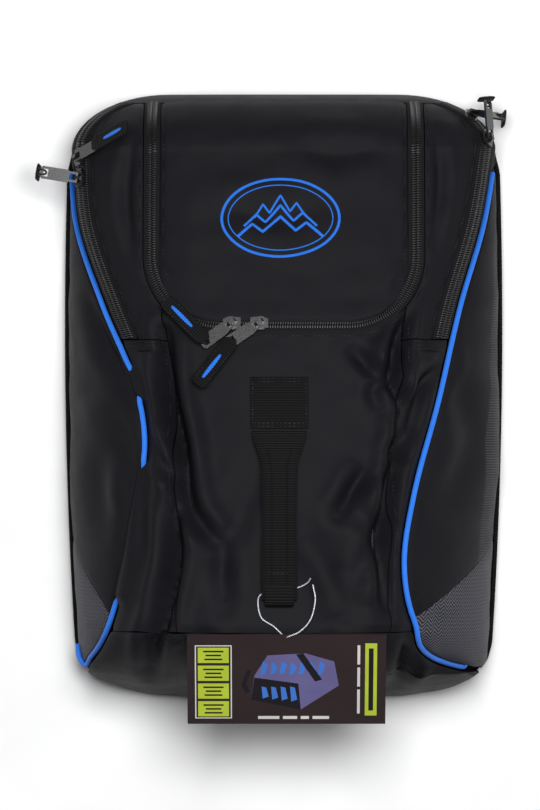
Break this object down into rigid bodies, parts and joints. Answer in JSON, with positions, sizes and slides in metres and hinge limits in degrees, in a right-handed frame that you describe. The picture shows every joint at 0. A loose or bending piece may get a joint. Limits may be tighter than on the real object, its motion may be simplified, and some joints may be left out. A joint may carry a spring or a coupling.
{
  "type": "boot and gear backpack",
  "caption": "Soft boot and gear backpack lying on its back, with a zipped U-shaped lid, zipped side boot compartments, piped edges, a webbing handle and a hang tag.",
  "frame": {"origin": "centre of the face that the bag rests on, which is the outer face of the back padding", "axes": "+X across the bag, +Y towards its top end, +Z away from the back, out through the front and the lid"},
  "size_m": [0.4077, 0.5425, 0.2165],
  "materials": {
    "cloth": "matte woven",
    "ribbed_cloth": "matte ribbed",
    "piping": "woven tape over cord",
    "webbing": "ribbed webbing",
    "zip_coil": "nylon coil on woven tape",
    "zip_metal": "black lacquer",
    "pull_tab": "black webbing with a blue stripe",
    "padding": "knitted mesh over foam",
    "hang_card": "printed and varnished card",
    "clear_nylon": "clear",
    "black_plastic": "moulded"
  },
  "bodies": {
    "shell": {"back_panel": "cloth", "back_pad": "padding", "divider_left": "padding", "divider_right": "padding", "base_board": "black_plastic", "base_panel": "cloth", "front_panel": "cloth", "top_panel": "cloth", "lid_zip_outer": "zip_coil", "front_strip_left": "cloth", "yoke_left": "cloth", "boot_zip_inner_left": "zip_coil", "corner_patch_left": "ribbed_cloth", "side_panel_left": "cloth", "piping_front_left": "piping", "piping_back_left": "cloth", "front_strip_right": "cloth", "yoke_right": "cloth", "boot_zip_inner_right": "zip_coil", "corner_patch_right": "ribbed_cloth", "side_panel_right": "cloth", "piping_front_right": "piping", "piping_back_right": "cloth", "handle_patch": "webbing", "tag_loop": "clear_nylon"},
    "lid": {"lid_panel": "cloth", "lid_zip_inner": "zip_coil"},
    "boot_flap_left": {"side_flap_left": "cloth", "boot_zip_outer_left": "zip_coil", "piping_flap_left": "piping"},
    "boot_flap_right": {"side_flap_right": "cloth", "boot_zip_outer_right": "zip_coil", "piping_flap_right": "piping"},
    "lid_left_slider": {"lid_left_slider": "zip_metal"},
    "lid_left_puller": {"lid_left_puller": "zip_metal"},
    "lid_left_tab": {"lid_left_tab": "pull_tab"},
    "lid_right_slider": {"lid_right_slider": "zip_metal"},
    "lid_right_puller": {"lid_right_puller": "zip_metal"},
    "lid_right_tab": {"lid_right_tab": "pull_tab"},
    "boot_left_upper_slider": {"boot_left_upper_slider": "zip_metal"},
    "boot_left_upper_puller": {"boot_left_upper_puller": "zip_metal"},
    "boot_left_upper_tab": {"boot_left_upper_tab": "pull_tab"},
    "boot_left_lower_slider": {"boot_left_lower_slider": "zip_metal"},
    "boot_left_lower_puller": {"boot_left_lower_puller": "zip_metal"},
    "boot_left_lower_tab": {"boot_left_lower_tab": "pull_tab"},
    "boot_right_lower_slider": {"boot_right_lower_slider": "zip_metal"},
    "boot_right_lower_puller": {"boot_right_lower_puller": "zip_metal"},
    "boot_right_lower_tab": {"boot_right_lower_tab": "pull_tab"},
    "boot_right_upper_slider": {"boot_right_upper_slider": "zip_metal"},
    "boot_right_upper_puller": {"boot_right_upper_puller": "zip_metal"},
    "boot_right_upper_tab": {"boot_right_upper_tab": "pull_tab"},
    "handle": {"handle_strap": "webbing"},
    "tag": {"tag_card": "hang_card"},
    "grab_loop": {"grab_loop": "webbing"},
    "strap_left": {"strap_pad_left": "padding", "ladder_lock_left": "black_plastic"},
    "adjuster_left": {"strap_webbing_left": "webbing"},
    "strap_right": {"strap_pad_right": "padding", "ladder_lock_right": "black_plastic"},
    "adjuster_right": {"strap_webbing_right": "webbing"}
  },
  "joints": [
    {"name": "lid_hinge", "type": "hinge", "parent": "shell", "child": "lid", "pos_m": [0, 0.253, 0.0755], "axis": [-1, 0, 0], "range_deg": [0, 110]},
    {"name": "boot_flap_left_hinge", "type": "hinge", "parent": "shell", "child": "boot_flap_left", "pos_m": [-0.1874, 0.12, 0.022], "axis": [0, -1, 0], "range_deg": [0, 40]},
    {"name": "boot_flap_right_hinge", "type": "hinge", "parent": "shell", "child": "boot_flap_right", "pos_m": [0.1874, 0.12, 0.022], "axis": [0, 1, 0], "range_deg": [0, 40]},
    {"name": "lid_left_slide", "type": "slide", "parent": "lid", "child": "lid_left_slider", "axis": [-0.9985, 0, -0.0554], "range_m": [0, 0.018]},
    {"name": "lid_left_puller_hinge", "type": "hinge", "parent": "lid_left_slider", "child": "lid_left_puller", "pos_m": [-0.04432, 0.06126, 0.16432], "axis": [-0.6034, 0.7714, -0.2021], "range_deg": [0, 100]},
    {"name": "lid_left_tab_hinge", "type": "hinge", "parent": "lid_left_puller", "child": "lid_left_tab", "pos_m": [-0.06593, 0.04578, 0.16975], "axis": [0.7184, 0.6839, -0.1274], "range_deg": [0, 110]},
    {"name": "lid_right_slide", "type": "slide", "parent": "lid", "child": "lid_right_slider", "axis": [0.9999, 0, 0.0122], "range_m": [0, 0.045]},
    {"name": "lid_right_puller_hinge", "type": "hinge", "parent": "lid_right_slider", "child": "lid_right_puller", "pos_m": [-0.02107, 0.0613, 0.16503], "axis": [-0.5671, 0.802, -0.1873], "range_deg": [0, 100]},
    {"name": "lid_right_tab_hinge", "type": "hinge", "parent": "lid_right_puller", "child": "lid_right_tab", "pos_m": [-0.0433, 0.04702, 0.17122], "axis": [-0.7961, 0.5895, -0.1367], "range_deg": [0, 110]},
    {"name": "boot_left_upper_slide", "type": "slide", "parent": "boot_flap_left", "child": "boot_left_upper_slider", "axis": [0, 0.968, -0.2511], "range_m": [0, 0.012]},
    {"name": "boot_left_upper_puller_hinge", "type": "hinge", "parent": "boot_left_upper_slider", "child": "boot_left_upper_puller", "pos_m": [-0.17847, 0.20484, 0.08941], "axis": [0.0696, -0.9352, 0.3473], "range_deg": [0, 100]},
    {"name": "boot_left_upper_tab_hinge", "type": "hinge", "parent": "boot_left_upper_puller", "child": "boot_left_upper_tab", "pos_m": [-0.1639, 0.21375, 0.1105], "axis": [0.0618, -0.9391, 0.3381], "range_deg": [0, 110]},
    {"name": "boot_left_lower_slide", "type": "slide", "parent": "boot_flap_left", "child": "boot_left_lower_slider", "axis": [0, -0.9794, 0.2019], "range_m": [0, 0.03]},
    {"name": "boot_left_lower_puller_hinge", "type": "hinge", "parent": "boot_left_lower_slider", "child": "boot_left_lower_puller", "pos_m": [-0.17791, 0.18668, 0.09438], "axis": [0.1596, 0.9866, 0.0329], "range_deg": [0, 100]},
    {"name": "boot_left_lower_tab_hinge", "type": "hinge", "parent": "boot_left_lower_puller", "child": "boot_left_lower_tab", "pos_m": [-0.21206, 0.19229, 0.09184], "axis": [0.1621, 0.9868, 0], "range_deg": [-15, 80]},
    {"name": "boot_right_lower_slide", "type": "slide", "parent": "boot_flap_right", "child": "boot_right_lower_slider", "axis": [0, -0.7895, 0.6138], "range_m": [0, 0.01]},
    {"name": "boot_right_lower_puller_hinge", "type": "hinge", "parent": "boot_right_lower_slider", "child": "boot_right_lower_puller", "pos_m": [0.17764, 0.22219, 0.08202], "axis": [0.5439, -0.0937, -0.8339], "range_deg": [0, 100]},
    {"name": "boot_right_lower_tab_hinge", "type": "hinge", "parent": "boot_right_lower_puller", "child": "boot_right_lower_tab", "pos_m": [0.17541, 0.25641, 0.07672], "axis": [0.9979, 0.0651, 0], "range_deg": [-10, 60]},
    {"name": "boot_right_upper_slide", "type": "slide", "parent": "boot_flap_right", "child": "boot_right_upper_slider", "axis": [0, 0.3895, -0.921], "range_m": [0, 0.004]},
    {"name": "boot_right_upper_puller_hinge", "type": "hinge", "parent": "boot_right_upper_slider", "child": "boot_right_upper_puller", "pos_m": [0.16268, 0.24376, 0.07206], "axis": [0.4155, -0.5538, 0.7216], "range_deg": [0, 27]},
    {"name": "boot_right_upper_tab_hinge", "type": "hinge", "parent": "boot_right_upper_puller", "child": "boot_right_upper_tab", "pos_m": [0.1915, 0.24056, 0.053], "axis": [-0.1104, -0.9939, 0], "range_deg": [0, 110]},
    {"name": "handle_swing", "type": "hinge", "parent": "shell", "child": "handle", "pos_m": [-0.004, -0.101, 0.196], "axis": [0, 0.9868, -0.1619], "range_deg": [-8, 8]},
    {"name": "tag_hinge", "type": "hinge", "parent": "shell", "child": "tag", "pos_m": [0.002, -0.203, 0.211], "axis": [-1, 0, 0], "range_deg": [0, 45]},
    {"name": "strap_left_hinge", "type": "hinge", "parent": "shell", "child": "strap_left", "pos_m": [-0.07, 0.2244, 0.005], "axis": [1, 0, 0], "range_deg": [0, 100]},
    {"name": "adjuster_left_slide", "type": "slide", "parent": "strap_left", "child": "adjuster_left", "axis": [0, 1, 0], "range_m": [0, 0.028]},
    {"name": "strap_right_hinge", "type": "hinge", "parent": "shell", "child": "strap_right", "pos_m": [0.07, 0.2244, 0.005], "axis": [1, 0, 0], "range_deg": [0, 100]},
    {"name": "adjuster_right_slide", "type": "slide", "parent": "strap_right", "child": "adjuster_right", "axis": [0, 1, 0], "range_m": [0, 0.028]},
    {"name": "grab_loop_hinge", "type": "hinge", "parent": "shell", "child": "grab_loop", "pos_m": [0, 0.2406, 0.007], "axis": [1, 0, 0], "range_deg": [0, 150]}
  ]
}
